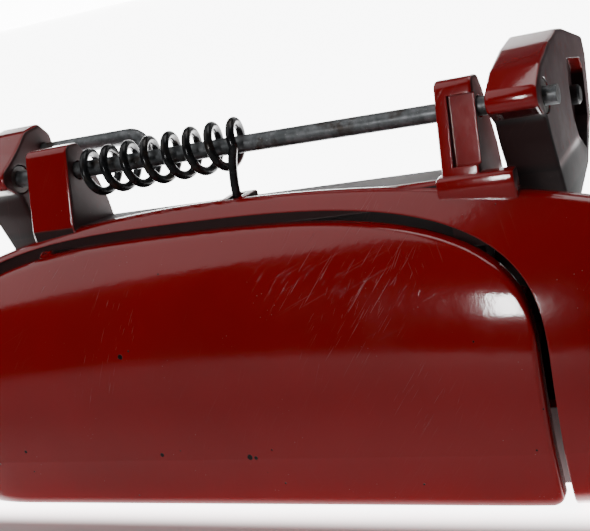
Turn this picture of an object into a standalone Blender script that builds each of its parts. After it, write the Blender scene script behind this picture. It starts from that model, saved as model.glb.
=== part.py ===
"""Exterior car door handle of the pull-flap kind, as an assembly of its separate pieces.

Frame: +X along the handle to its right end, +Y into the door, +Z up, metres.
The origin lies on the flat rear face of the die-cast base, on the strip under the finger
well, where it seats on the door.
"""
import bpy
import bmesh
import math
from mathutils import Matrix, Vector

MM = 0.001

# ---- driving dimensions, millimetres, measured from the hinge pin's axis --------------------
PIN_D = 3.5             # hinge pin
PIN_UP = 69.2           # pin axis above the origin
PIN_BACK = 5.0          # pin axis behind the seat plane
SEAT_Y = -5.0           # seat plane on the door skin
RIM_EDGE = 1.2          # thickness of the base at its outer edge
BASE_X0, BASE_X1 = -94.0, 110.0
BASE_TOP, BASE_BOTTOM, BASE_MID = -9.5, -72.0, -41.0
CREST_Y = -22.0         # how far the face stands out, at the crease
CREASE_Z = -58.0
LIP_SLOPE = 0.14
FACE_POWER = 3.2
ARCH = 0.0013
FLAP_X0, FLAP_X1 = -79.0, 59.5
FLAP_TOP, FLAP_BOTTOM, FLAP_MID = -14.3, -69.6, -45.0
FLAP_WALL = 2.8
GAP_TOP, GAP_SIDE = 2.1, 1.9
WELL_FLOOR = 4.0        # front face of the finger well's back wall
WELL_WALL = 2.2
TOWER_L = (-48.5, -37.3)
TOWER_R = (44.3, 51.5)
ARM_L = (-63.5, -53.0)
ARM_R = (53.9, 63.4)
PIN_END_X = 65.6
BUSH_D = 6.0
WIRE_D = 1.8
COIL_D = 8.7            # mean diameter of the return spring
COIL_X0, COIL_X1, COILS = -34.6, 3.2, 7.4
ROD_Y, ROD_Z = 11.0, 3.6    # the pin's returned end
LOCK_X, LOCK_Z = 80.0, -40.0
LOCK_D = 17.0
PLUG_D = 11.5
CLEAR = 0.3


def world(x, y, z):
    return Vector((x, y + PIN_BACK, z + PIN_UP)) * MM


def superellipse(t, n):
    return max(0.0, 1.0 - min(1.0, abs(t)) ** n) ** (1.0 / n)


def base_top(x):
    t = (x - (BASE_X0 + BASE_X1) / 2) / ((BASE_X1 - BASE_X0) / 2)
    return BASE_MID + (BASE_TOP - BASE_MID) * superellipse(t, 4.0) - ARCH * (x + 3) ** 2 * superellipse(t, 4.0)


def base_bottom(x):
    t = (x - (BASE_X0 + BASE_X1) / 2) / ((BASE_X1 - BASE_X0) / 2)
    return BASE_MID + (BASE_BOTTOM - BASE_MID) * superellipse(t, 5.0)


def end_fall(x):
    """1 over the middle of the handle, falling to 0 at its two ends."""
    if x > 45.0:
        return 1.0 - min(1.0, (x - 45.0) / (BASE_X1 - 45.0)) ** 2.6
    if x < -60.0:
        return 1.0 - min(1.0, (-60.0 - x) / (-60.0 - BASE_X0)) ** 2.4
    return 1.0


def face_y(x, z):
    """The outer styling surface, shared by the base and the flap."""
    edge = SEAT_Y - RIM_EDGE
    if z >= CREASE_Z:
        top = min(-9.0, BASE_TOP + 0.3 - ARCH * (x + 3) ** 2)
        u = min(1.0, (z - CREASE_Z) / (top - CREASE_Z))
        y = CREST_Y + (edge - CREST_Y) * u ** FACE_POWER
    else:
        y = CREST_Y + (CREASE_Z - z) * LIP_SLOPE
    return edge + (y - edge) * end_fall(x)


def flap_top(x):
    t = (x - (FLAP_X0 + FLAP_X1) / 2) / ((FLAP_X1 - FLAP_X0) / 2)
    return FLAP_MID + (FLAP_TOP - 0.0006 * (x + 9) ** 2 * superellipse(t, 3.5) - FLAP_MID) * superellipse(t, 3.5)


# ---- small modelling kit ---------------------------------------------------------------------
for old in list(bpy.data.objects):
    bpy.data.objects.remove(old, do_unlink=True)


def material(name, color, roughness, metallic):
    mat = bpy.data.materials.new(name)
    mat.use_nodes = True
    shader = mat.node_tree.nodes["Principled BSDF"]
    shader.inputs["Base Color"].default_value = (*color, 1)
    shader.inputs["Roughness"].default_value = roughness
    shader.inputs["Metallic"].default_value = metallic
    mat.diffuse_color = (*color, 1)
    return mat


def add(name, bm, mat, origin=None, smooth=30):
    """Makes the object, with its own origin on its joint's axis where it has one."""
    bmesh.ops.recalc_face_normals(bm, faces=bm.faces[:])
    if bm.calc_volume(signed=True) < 0:
        bmesh.ops.reverse_faces(bm, faces=bm.faces[:])
    mesh = bpy.data.meshes.new(name)
    if origin is not None:
        bmesh.ops.translate(bm, verts=bm.verts[:], vec=-origin)
    bm.to_mesh(mesh)
    bm.free()
    obj = bpy.data.objects.new(name, mesh)
    if origin is not None:
        obj.location = origin
    bpy.context.collection.objects.link(obj)
    if mat:
        mesh.materials.append(mat)
    mesh.shade_smooth()
    mesh.set_sharp_from_angle(angle=math.radians(smooth))
    return obj


def boolean(obj, other, operation):
    mod = obj.modifiers.new(other.name, "BOOLEAN")
    mod.operation = operation
    mod.solver = "EXACT"
    mod.object = other
    other.hide_render = True
    other.display_type = "WIRE"
    return mod


def helper(name, bm):
    obj = add(name, bm, None)
    obj.hide_render = True
    obj.display_type = "WIRE"
    return obj


def loft_columns(xs, rows_front, rows_back):
    """A closed slab: for every x a column of front points and one of back points, joined all round."""
    bm = bmesh.new()
    front = [[bm.verts.new(p) for p in rows_front(x)] for x in xs]
    back = [[bm.verts.new(p) for p in rows_back(x)] for x in xs]
    m = len(front[0])
    for i in range(len(xs) - 1):
        for j in range(m - 1):
            bm.faces.new((front[i][j], front[i + 1][j], front[i + 1][j + 1], front[i][j + 1]))
            bm.faces.new((back[i][j], back[i][j + 1], back[i + 1][j + 1], back[i + 1][j]))
        bm.faces.new((front[i][0], back[i][0], back[i + 1][0], front[i + 1][0]))
        bm.faces.new((front[i][m - 1], front[i + 1][m - 1], back[i + 1][m - 1], back[i][m - 1]))
    for i in (0, len(xs) - 1):
        for j in range(m - 1):
            bm.faces.new((front[i][j], front[i][j + 1], back[i][j + 1], back[i][j]))
    return bm


def prism_x(profile, x0, x1, bevel=0.0, segments=2):
    """A profile of (y, z) points, extruded from x0 to x1."""
    bm = bmesh.new()
    a = [bm.verts.new(world(x0, y, z)) for y, z in profile]
    b = [bm.verts.new(world(x1, y, z)) for y, z in profile]
    bm.faces.new(a)
    bm.faces.new(b[::-1])
    n = len(profile)
    for i in range(n):
        bm.faces.new((a[i], b[i], b[(i + 1) % n], a[(i + 1) % n]))
    bmesh.ops.recalc_face_normals(bm, faces=bm.faces[:])
    if bevel:
        bmesh.ops.bevel(bm, geom=bm.edges[:], offset=bevel * MM, segments=segments, profile=0.5, affect="EDGES", clamp_overlap=True)
    return bm


def prism_y(outline, y0, y1):
    """An outline of (x, z) points, extruded from y0 to y1."""
    bm = bmesh.new()
    a = [bm.verts.new(world(x, y0, z)) for x, z in outline]
    b = [bm.verts.new(world(x, y1, z)) for x, z in outline]
    bm.faces.new(a)
    bm.faces.new(b[::-1])
    n = len(outline)
    for i in range(n):
        bm.faces.new((a[i], b[i], b[(i + 1) % n], a[(i + 1) % n]))
    return bm


def box(x0, x1, y0, y1, z0, z1, bevel=0.0, segments=2):
    return prism_x([(y0, z0), (y1, z0), (y1, z1), (y0, z1)], x0, x1, bevel, segments)


def turned(profile, centre, axis, sides=32):
    """A profile of (distance along the axis, radius), turned about the axis through centre."""
    bm = bmesh.new()
    axis = Vector(axis).normalized()
    side = axis.orthogonal().normalized()
    up = axis.cross(side)
    rings = []
    for along, radius in profile:
        here = centre + axis * along * MM
        if radius <= 1e-6:
            rings.append([bm.verts.new(here)])
        else:
            rings.append([bm.verts.new(here + (side * math.cos(a) + up * math.sin(a)) * radius * MM)
                          for a in (2 * math.pi * k / sides for k in range(sides))])
    closed = profile[0] == profile[-1]
    if closed:
        rings[-1] = rings[0]
    for r, s in zip(rings, rings[1:]):
        for k in range(sides):
            n = (k + 1) % sides
            quad = [r[k % len(r)], r[n % len(r)], s[n % len(s)], s[k % len(s)]]
            quad = [v for i, v in enumerate(quad) if v not in quad[:i]]
            if len(quad) > 2:
                bm.faces.new(quad)
    if not closed:
        for ring in (rings[0], rings[-1]):
            if len(ring) > 1:
                bm.faces.new(ring)
    return bm


def tube(points, radius, sides=10):
    """A round bar swept along the points, with a turning frame that doesn't twist."""
    bm = bmesh.new()
    points = [Vector(p) for p in points]
    rings = []
    normal = None
    for i, p in enumerate(points):
        t = (points[min(i + 1, len(points) - 1)] - points[max(i - 1, 0)]).normalized()
        normal = t.orthogonal().normalized() if normal is None else (normal - t * normal.dot(t)).normalized()
        other = t.cross(normal)
        rings.append([bm.verts.new(p + (normal * math.cos(a) + other * math.sin(a)) * radius * MM)
                      for a in (2 * math.pi * k / sides for k in range(sides))])
    for r, s in zip(rings, rings[1:]):
        for k in range(sides):
            n = (k + 1) % sides
            bm.faces.new((r[k], r[n], s[n], s[k]))
    bm.faces.new(rings[0][::-1])
    bm.faces.new(rings[-1])
    return bm


def spread(a, b, n, ease=0.0):
    """n + 1 values from a to b, closer together near both ends as ease goes to 1."""
    out = []
    for i in range(n + 1):
        t = i / n
        s = 0.5 - 0.5 * math.cos(math.pi * t)
        out.append(a + (b - a) * (t + (s - t) * ease))
    return out


RED = material("red_paint", (0.17, 0.004, 0.006), 0.16, 0.0)
RED_ARM = material("red_paint_arm", (0.17, 0.004, 0.006), 0.2, 0.0)
STEEL = material("phosphated_steel", (0.11, 0.12, 0.12), 0.5, 0.9)
SPRING = material("oiled_spring_wire", (0.012, 0.012, 0.013), 0.25, 0.6)
ZINC = material("zinc_plate", (0.62, 0.6, 0.52), 0.35, 1.0)
RUBBER = material("black_rubber", (0.02, 0.02, 0.02), 0.8, 0.0)
FOAM = material("gasket_rubber", (0.03, 0.03, 0.03), 0.9, 0.0)
NYLON = material("white_nylon", (0.75, 0.73, 0.66), 0.45, 0.0)
BRIGHT = material("bright_zinc_casting", (0.6, 0.6, 0.6), 0.3, 1.0)
CHROME = material("stainless_cap", (0.75, 0.75, 0.75), 0.15, 1.0)
DARK_NYLON = material("black_nylon", (0.02, 0.02, 0.022), 0.45, 0.0)

# ---- base -------------------------------------------------------------------------------------
def base_rows(x):
    top, bottom = base_top(x), base_bottom(x)
    crease = min(max(CREASE_Z, bottom + 0.2 * (top - bottom)), top - 0.2 * (top - bottom))
    zs = spread(bottom, crease, 4, 0.5)[:-1] + spread(crease, top, 9, 0.6)
    return zs, top, bottom


def base_front(x):
    zs, top, bottom = base_rows(x)
    out = []
    for z in zs:
        y = face_y(x, z)
        if z < BASE_MID:
            t = (BASE_MID - z) / (BASE_MID - BASE_BOTTOM)
            w = max(0.0, 1.0 - (t / max(1e-6, (BASE_MID - bottom) / (BASE_MID - BASE_BOTTOM))) ** 22) ** 0.5
            y = SEAT_Y - RIM_EDGE + (y - SEAT_Y + RIM_EDGE) * w
        out.append(world(x, y, z))
    return out


def base_back(x):
    return [world(x, SEAT_Y, z) for z in base_rows(x)[0]]


xs = spread(BASE_X0 + 0.25, BASE_X1 - 0.25, 32, 0.75)
base = add("handle_base", loft_columns(xs, base_front, base_back), RED)

# the tray behind the flap, whose inside is the finger well
tray = helper("u_tray", box(-49.9, 46.4, SEAT_Y - 2.2, WELL_FLOOR + WELL_WALL, -66.5, -13.0, 2.0, 3))
boolean(base, tray, "UNION")
# raised land along the top, behind the rim, that carries the towers
boolean(base, helper("u_land", prism_x([(SEAT_Y - 1.0, -11.6), (SEAT_Y + 0.2, -11.2), (8.4, -12.4), (8.6, -15.6), (SEAT_Y - 1.0, -17.0)], -49.6, 46.0, 0.5, 2)), "UNION")


def tower_profile():
    return [(-1.2, 5.9), (-2.4, 5.2), (-7.3, -10.6), (-7.0, -14.0), (8.6, -14.6), (7.9, -8.4), (4.2, 2.6), (2.4, 5.6)]


boolean(base, helper("u_tower_left", prism_x(tower_profile(), *TOWER_L, 1.3, 3)), "UNION")
boolean(base, helper("u_tower_right", prism_x(tower_profile(), *TOWER_R, 1.1, 3)), "UNION")
# small raised pad on the rim in front of the right tower
boolean(base, helper("u_pad", prism_x([(SEAT_Y - 3.4, -12.6), (SEAT_Y - 2.9, -10.5), (SEAT_Y + 0.1, -10.3), (SEAT_Y + 0.1, -16.0), (SEAT_Y - 3.0, -16.0)], 43.2, 57.6, 0.7, 3)), "UNION")
# box behind the right arm's window, open at the top
boolean(base, helper("u_arm_box", box(45.6, 59.8, SEAT_Y - 1.6, 11.4, -57.8, -31.0)), "UNION")
boolean(base, helper("u_arm_box_lip", box(45.6, 53.0, 9.7, 11.4, -32.0, -25.2)), "UNION")
# notch block that holds the spring's right leg
boolean(base, helper("u_notch", prism_x([(SEAT_Y - 1.0, -12.2), (SEAT_Y - 0.6, -9.4), (0.2, -9.4), (0.2, -13.2), (SEAT_Y - 0.6, -13.2)], -2.2, 3.8, 0.5, 2)), "UNION")
# lock housing behind the right end, and the two screw bosses
boolean(base, helper("u_lock", turned([(-1.5, LOCK_D / 2 + 2.2), (27.0, LOCK_D / 2 + 2.0), (27.6, LOCK_D / 2 + 1.5)], world(LOCK_X, SEAT_Y, LOCK_Z), (0, 1, 0), 32)), "UNION")
for side, bx, bz in (("left", -82.0, -42.0), ("right", 99.5, -41.0)):
    boolean(base, helper("u_boss_" + side, turned([(-2.6, 5.2), (5.4, 4.8), (6.0, 4.2)], world(bx, SEAT_Y, bz), (0, 1, 0), 20)), "UNION")


# recess that the flap sits in
def opening_outline(gap_top, gap_side, bottom, steps=28):
    c, a = (FLAP_X0 + FLAP_X1) / 2, (FLAP_X1 - FLAP_X0) / 2
    pts = []
    for x in spread(FLAP_X0 + 0.02, FLAP_X1 - 0.02, steps, 1.0):
        s = (x - c) / a
        pts.append((x + gap_side * s, flap_top(x) + gap_top * (1 - abs(s) ** 6 * 0.7)))
    pts.append((pts[-1][0] - 0.4, bottom))
    pts.append((pts[0][0] + 0.4, bottom))
    return pts


boolean(base, helper("c_flap_recess", prism_y(opening_outline(GAP_TOP, GAP_SIDE, -90.0), -60.0, -7.6)), "DIFFERENCE")
# the well itself, open to the recess
boolean(base, helper("c_well", box(-48.6, 44.6, -10.4, WELL_FLOOR, -63.5, -15.0, 2.6, 3)), "DIFFERENCE")
# windows that the flap's arms pass through, left and right of the well
boolean(base, helper("c_arm_window_left", box(-64.6, -51.6, -9.5, 20.0, -56.0, -19.8)), "DIFFERENCE")
boolean(base, helper("c_arm_window_right", box(47.6, 58.0, -9.5, 9.8, -56.0, -23.6)), "DIFFERENCE")
# grooves that drain the seat, either side of the strip below the well
for side, gx in (("left", -40.0), ("right", 40.0)):
    boolean(base, helper("c_drain_" + side, box(gx - 0.6, gx + 0.6, SEAT_Y - 0.8, SEAT_Y + 3.0, -80.0, -66.9)), "DIFFERENCE")


# hollow back of the right end, which is a shell like the rest
def hollow(x):
    zs = spread(-64.0, -24.0, 10, 0.4)
    return zs


def hollow_front(x):
    return [world(x, min(face_y(x, z) + 2.6, SEAT_Y - 0.1), z) for z in hollow(x)]


def hollow_back(x):
    return [world(x, 30.0, z) for z in hollow(x)]


lug = helper("k_lock_keep", turned([(-30.0, LOCK_D / 2 + 2.2), (40.0, LOCK_D / 2 + 2.2)], world(LOCK_X, SEAT_Y, LOCK_Z), (0, 1, 0), 32))
boss_keep = helper("k_boss_keep", turned([(-30.0, 5.3), (40.0, 5.3)], world(99.5, SEAT_Y, -41.0), (0, 1, 0), 20))
pocket = helper("c_end_pocket", loft_columns(spread(64.2, 92.0, 10, 0.2), hollow_front, hollow_back))
boolean(pocket, lug, "DIFFERENCE")
boolean(pocket, boss_keep, "DIFFERENCE")
boolean(base, pocket, "DIFFERENCE")

# bores
boolean(base, helper("c_lock_bore", turned([(-40.0, LOCK_D / 2 + 0.3), (60.0, LOCK_D / 2 + 0.3)], world(LOCK_X, SEAT_Y, LOCK_Z), (0, 1, 0), 40)), "DIFFERENCE")
boolean(base, helper("c_pin_bore", turned([(-60.0, PIN_D / 2 + 0.35), (60.0, PIN_D / 2 + 0.35)], world(0, 0, 0), (1, 0, 0), 24)), "DIFFERENCE")
boolean(base, helper("c_leg_slot", box(-0.4, 2.0, -5.4, -1.6, -12.4, -5.0)), "DIFFERENCE")
for side, bx, bz in (("left", -82.0, -42.0), ("right", 99.5, -41.0)):
    boolean(base, helper("c_stud_" + side, turned([(-0.2, 2.8), (20.0, 2.8)], world(bx, SEAT_Y, bz), (0, 1, 0), 20)), "DIFFERENCE")
# recessed web on the right tower's front face
boolean(base, helper("c_tower_web", prism_x([(-9.5, 3.2), (-1.9, 3.2), (-5.2, -9.0), (-12.0, -9.0)], TOWER_R[0] + 2.4, TOWER_R[1] + 1.0)), "DIFFERENCE")

# ---- flap -------------------------------------------------------------------------------------
def flap_rows(x):
    top, bottom = flap_top(x), FLAP_BOTTOM
    d = min(x - FLAP_X0, FLAP_X1 - x)
    if d < 2.5:
        bottom += 2.5 - math.sqrt(max(0.0, 2.5 ** 2 - (2.5 - d) ** 2))
    return spread(bottom, CREASE_Z, 3, 0.6)[:-1] + spread(CREASE_Z, top, 9, 0.7), top, bottom


def flap_point(x, z, depth):
    zs, top, bottom = flap_rows(x)
    y = face_y(x, z)
    d = min(top - z, z - bottom, x - FLAP_X0, FLAP_X1 - x)
    r = 1.1
    if d < r:
        y += r - math.sqrt(max(0.0, r * r - (r - d) ** 2))
    return world(x, y if depth == 0 else face_y(x, z) + depth, z)


def flap_front(x):
    return [flap_point(x, z, 0) for z in flap_rows(x)[0]]


def flap_back(x):
    return [flap_point(x, z, FLAP_WALL) for z in flap_rows(x)[0]]


PIVOT = world(0, 0, 0)
fx = spread(FLAP_X0 + 0.05, FLAP_X1 - 0.05, 30, 0.85)
flap = add("pull_flap", loft_columns(fx, flap_front, flap_back), RED_ARM, PIVOT)


def arm_head(deep):
    """The arm above the rim: nose, sloping roof, and the back, which is deeper where the latch rod joins it."""
    nose = [(5.6, -24.0), (3.5, -18.4), (0.9, -11.6), (-0.6, -8.0), (-1.6, -3.6), (-5.5, -0.7), (-6.0, 1.0), (-5.2, 2.8), (0.6, 5.8)]
    if deep:
        return nose + [(10.0, 8.0), (18.0, 9.0), (24.0, 8.2), (41.0, 4.0), (42.0, 0.0), (38.0, -12.0), (28.0, -20.0), (12.0, -24.5)]
    return nose + [(6.0, 9.4), (11.5, 10.0), (14.4, 7.0), (15.2, 0.0), (13.0, -12.0), (10.2, -22.0), (9.0, -24.0)]


def arm_foot():
    """The arm below the rim, reaching forward to the back of the flap."""
    return [(7.0, -22.6), (7.6, -18.6), (10.4, -18.6), (10.0, -23.0), (6.6, -32.0), (-4.0, -41.0), (-14.0, -48.4), (-20.1, -50.2), (-19.6, -41.0), (-18.2, -34.6), (-16.6, -31.4), (-9.0, -31.0), (-2.6, -29.8)]


for side, (a, b), (c, d) in (("left", ARM_L, (-62.6, -54.6)), ("right", ARM_R, (48.8, 56.8))):
    boolean(flap, helper("u_arm_head_" + side, prism_x(arm_head(side == "right"), a, b, 1.2, 3)), "UNION")
    boolean(flap, helper("u_arm_foot_" + side, prism_x(arm_foot(), c, d, 0.8, 2)), "UNION")
boolean(flap, helper("c_arm_pocket", prism_x([(22.0, 2.6), (35.0, 0.4), (36.4, -2.0), (34.0, -11.0), (28.0, -16.6), (22.6, -13.0), (20.0, -8.0), (20.6, -1.0)], ARM_R[1] - 2.4, ARM_R[1] + 1)), "DIFFERENCE")
# bores for the bushes
boolean(flap, helper("c_bush_bore", turned([(-90.0, BUSH_D / 2 + 0.25), (90.0, BUSH_D / 2 + 0.25)], PIVOT, (1, 0, 0), 28)), "DIFFERENCE")
# bore in the left arm for the pin's returned end, which makes the pin turn with the flap
boolean(flap, helper("c_return_bore", turned([(-70.0, PIN_D / 2 + 0.3), (-40.0, PIN_D / 2 + 0.3)], world(0, ROD_Y, ROD_Z), (1, 0, 0), 20)), "DIFFERENCE")
# hole in the right arm's tail for the rod clip
ROD_CLIP = (ARM_R[0], 30.0, -6.0)
boolean(flap, helper("c_rod_hole", turned([(-4.0, 2.3), (20.0, 2.3)], world(*ROD_CLIP), (1, 0, 0), 20)), "DIFFERENCE")

# ---- hinge pin, with its returned end ---------------------------------------------------------
def arc(centre, radius, a0, a1, n, ex, ey):
    return [centre + (ex * math.cos(a0 + (a1 - a0) * k / n) + ey * math.sin(a0 + (a1 - a0) * k / n)) * radius for k in range(n + 1)]


ex = Vector((1, 0, 0))
out = Vector((0, ROD_Y, ROD_Z)).normalized()
reach = math.hypot(ROD_Y, ROD_Z)
pin_points = [world(PIN_END_X, 0, 0), world(40, 0, 0), world(0, 0, 0), world(-40, 0, 0)]
bend = reach / 2
pin_points += arc(world(-66.5, 0, 0) + out * bend * MM, bend * MM, math.radians(-90), math.radians(-270), 12, ex, out)
pin_points += [world(-50, ROD_Y, ROD_Z), world(-34, ROD_Y, ROD_Z)]
tip_dir = Vector((0, -0.35, -0.94)).normalized()
tip = 4.0
pin_points += arc(world(-30.0, ROD_Y, ROD_Z) + tip_dir * tip * MM, tip * MM, math.radians(90), math.radians(0), 6, ex, -tip_dir)
pin_points += [pin_points[-1] + tip_dir * 3.2 * MM]
pin = add("hinge_pin", tube(pin_points, PIN_D / 2, 12), STEEL, PIVOT, 40)

# ---- bushes in the arms -----------------------------------------------------------------------
for side, (a, b) in (("left", ARM_L), ("right", ARM_R)):
    r0, r1 = PIN_D / 2 + 0.08, BUSH_D / 2
    prof = [(0, r0), (0, r1), (b - a - 0.4, r1), (b - a - 0.4, r0), (0, r0)]
    obj = add("pin_bush_" + side, turned(prof, world(a + 0.2, 0, 0), (1, 0, 0), 24), NYLON, PIVOT)

# ---- return spring ------------------------------------------------------------------------------
def coil_points(per_turn=11):
    n = int(COILS * per_turn)
    r = COIL_D / 2
    pts = []
    end_angle = math.radians(180)
    for k in range(n + 1):
        t = k / n
        x = COIL_X1 + (COIL_X0 - COIL_X1) * t
        a = end_angle - 2 * math.pi * COILS * t
        pts.append(world(x, r * math.cos(a), 0.45 + r * math.sin(a) - 1.5 * t))
    return pts


coil = coil_points()
leg_top = coil[0]
leg = [leg_top + Vector((-0.0024, 0.0008, -0.0112)), leg_top + Vector((-0.0020, 0.0005, -0.0070)), leg_top + Vector((-0.0010, 0.0001, -0.0026))]
spring = add("return_spring", tube(leg + coil, WIRE_D / 2, 6), SPRING, PIVOT, 60)

# ---- rubber buffers that the flap rests on ------------------------------------------------------
for side, x in (("left", -42.0), ("right", 38.0)):
    front = face_y(x, -50.0) + FLAP_WALL + 0.5
    long = WELL_FLOOR - CLEAR - front
    add("flap_buffer_" + side, turned([(0, 2.2), (0.8, 3.0), (long - 2.0, 3.4), (long, 4.6)], world(x, front, -50.0), (0, 1, 0), 20), RUBBER)

# ---- seat gaskets at the two ends ----------------------------------------------------------------
def gasket(name, x0, x1, hole):
    outline = []
    for x in spread(x0, x1, 12):
        outline.append((x, base_top(x) - 1.2))
    for x in reversed(spread(x0, x1, 12)):
        outline.append((x, base_bottom(x) + 1.2))
    obj = add(name, prism_y(outline, SEAT_Y + CLEAR, SEAT_Y + CLEAR + 1.2), FOAM)
    for i, (hx, hz, hr) in enumerate(hole):
        boolean(obj, helper("c_%s_%d" % (name, i), turned([(-5, hr), (20, hr)], world(hx, SEAT_Y, hz), (0, 1, 0), 24)), "DIFFERENCE")


gasket("gasket_left", BASE_X0 + 2.0, -73.0, [(-82.0, -42.0, 5.6)])
gasket("gasket_right", 67.0, BASE_X1 - 2.0, [(99.5, -41.0, 5.6), (LOCK_X, LOCK_Z, LOCK_D / 2 + 2.7)])

# ---- studs, washers, nuts -------------------------------------------------------------------------
for side, bx, bz in (("left", -82.0, -42.0), ("right", 99.5, -41.0)):
    add("stud_" + side, turned([(0.2, 2.1), (0.6, 2.5), (20.0, 2.5), (20.8, 2.0)], world(bx, SEAT_Y, bz), (0, 1, 0), 18), ZINC)
    add("washer_" + side, turned([(8.3, 2.8), (8.3, 5.2), (9.5, 5.2), (9.5, 2.8), (8.3, 2.8)], world(bx, SEAT_Y, bz), (0, 1, 0), 24), ZINC)
    nut = turned([(9.8, 3.1), (9.8, 4.3), (10.3, 4.62), (13.9, 4.62), (14.4, 4.3), (14.4, 3.1), (9.8, 3.1)], world(bx, SEAT_Y, bz), (0, 1, 0), 6)
    add("nut_" + side, nut, ZINC, smooth=20)

# ---- lock -------------------------------------------------------------------------------------------
LOCK_AXIS = (0, 1, 0)
lock_face = face_y(LOCK_X, LOCK_Z) - 0.6
L0 = lock_face - SEAT_Y
barrel = turned([(L0 + 1.4, PLUG_D / 2 + 0.3), (L0, PLUG_D / 2 + 0.9), (L0, LOCK_D / 2 - 0.8), (L0 + 0.8, LOCK_D / 2), (31.0, LOCK_D / 2), (31.0, PLUG_D / 2 + 0.3), (L0 + 1.4, PLUG_D / 2 + 0.3)],
                world(LOCK_X, SEAT_Y, LOCK_Z), LOCK_AXIS, 36)
add("lock_barrel", barrel, BRIGHT, smooth=25)
LOCK_C = world(LOCK_X, SEAT_Y, LOCK_Z)
plug = add("lock_plug", turned([(L0 + 0.5, PLUG_D / 2 - 0.4), (L0 + 0.9, PLUG_D / 2), (33.0, PLUG_D / 2), (33.0, 2.6), (38.0, 2.6)], LOCK_C, LOCK_AXIS, 32), BRIGHT, LOCK_C, 25)
slot = box(LOCK_X - 4.3, LOCK_X + 4.3, lock_face - 2.0, lock_face + 24.0, LOCK_Z - 1.35, LOCK_Z + 1.35)
boolean(plug, helper("c_key_slot", slot), "DIFFERENCE")
SHUTTER = world(LOCK_X, lock_face + 1.6, LOCK_Z + 0.75)
add("lock_shutter", box(LOCK_X - 4.0, LOCK_X + 4.0, lock_face + 1.2, lock_face + 1.9, LOCK_Z - 1.05, LOCK_Z + 1.05), CHROME, SHUTTER)
# lever on the plug's tail
lever = prism_y([(LOCK_X - 4.6, LOCK_Z + 4.0), (LOCK_X - 4.6, LOCK_Z - 3.0), (LOCK_X - 3.2, LOCK_Z - 22.0), (LOCK_X, LOCK_Z - 24.0), (LOCK_X + 3.2, LOCK_Z - 22.0), (LOCK_X + 4.6, LOCK_Z - 3.0), (LOCK_X + 4.6, LOCK_Z + 4.0), (LOCK_X, LOCK_Z + 5.6)],
                33.3 + SEAT_Y, 35.3 + SEAT_Y)
lever = add("lock_lever", lever, ZINC, LOCK_C)
boolean(lever, helper("c_lever_hub", turned([(30, 2.75), (40, 2.75)], LOCK_C, LOCK_AXIS, 24)), "DIFFERENCE")
boolean(lever, helper("c_lever_rod", turned([(30, 2.0), (40, 2.0)], world(LOCK_X, SEAT_Y, LOCK_Z - 19.5), LOCK_AXIS, 20)), "DIFFERENCE")
add("lever_clip", turned([(35.6, 2.75), (35.6, 5.0), (36.4, 5.0), (36.4, 2.75), (35.6, 2.75)], LOCK_C, LOCK_AXIS, 28), STEEL, LOCK_C)
# fork clip that keeps the barrel in its housing
fork = prism_y([(LOCK_X - 11.4, LOCK_Z - 9.0), (LOCK_X + 11.4, LOCK_Z - 9.0), (LOCK_X + 11.4, LOCK_Z + 9.0), (LOCK_X + 8.9, LOCK_Z + 9.0), (LOCK_X + 8.9, LOCK_Z - 2.0), (LOCK_X - 8.9, LOCK_Z - 2.0), (LOCK_X - 8.9, LOCK_Z + 9.0), (LOCK_X - 11.4, LOCK_Z + 9.0)],
               28.1 + SEAT_Y, 29.3 + SEAT_Y)
fork = add("lock_fork_clip", fork, STEEL)
boolean(fork, helper("c_fork", turned([(20, 8.9), (40, 8.9)], LOCK_C, LOCK_AXIS, 36)), "DIFFERENCE")

# ---- rod clips ------------------------------------------------------------------------------------------
clip_c = world(*ROD_CLIP)
rod_clip = add("rod_clip", turned([(-2.4, 0), (-2.4, 3.6), (-0.3, 3.8), (-0.3, 2.0), (9.2, 2.0), (9.6, 1.5), (9.6, 0)], clip_c, (1, 0, 0), 20), DARK_NYLON, clip_c)
boolean(rod_clip, helper("u_rod_clip", box(ARM_R[0] - 2.4, ARM_R[0] - 0.3, 29.0, 31.0, -17.0, -6.0, 0.3, 1)), "UNION")
lclip_c = world(LOCK_X, 35.6 + SEAT_Y, LOCK_Z - 19.5)
lrod = add("lock_rod_clip", turned([(-4.2, 0), (-4.2, 1.3), (-3.6, 1.7), (0.0, 1.7), (0.0, 3.6), (2.0, 3.4), (2.0, 0)], lclip_c, (0, 1, 0), 20), DARK_NYLON, lclip_c)
boolean(lrod, helper("u_lock_rod_clip", box(LOCK_X - 1.1, LOCK_X + 1.1, 35.6 + SEAT_Y + 0.1, 35.6 + SEAT_Y + 1.9, LOCK_Z - 31.0, LOCK_Z - 19.5, 0.3, 1)), "UNION")
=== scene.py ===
"""Exterior pull handle of a car door: the look of the object on the frame that the CAD gives."""

import math

import bmesh
import bpy
from mathutils import Matrix, Vector

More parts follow.
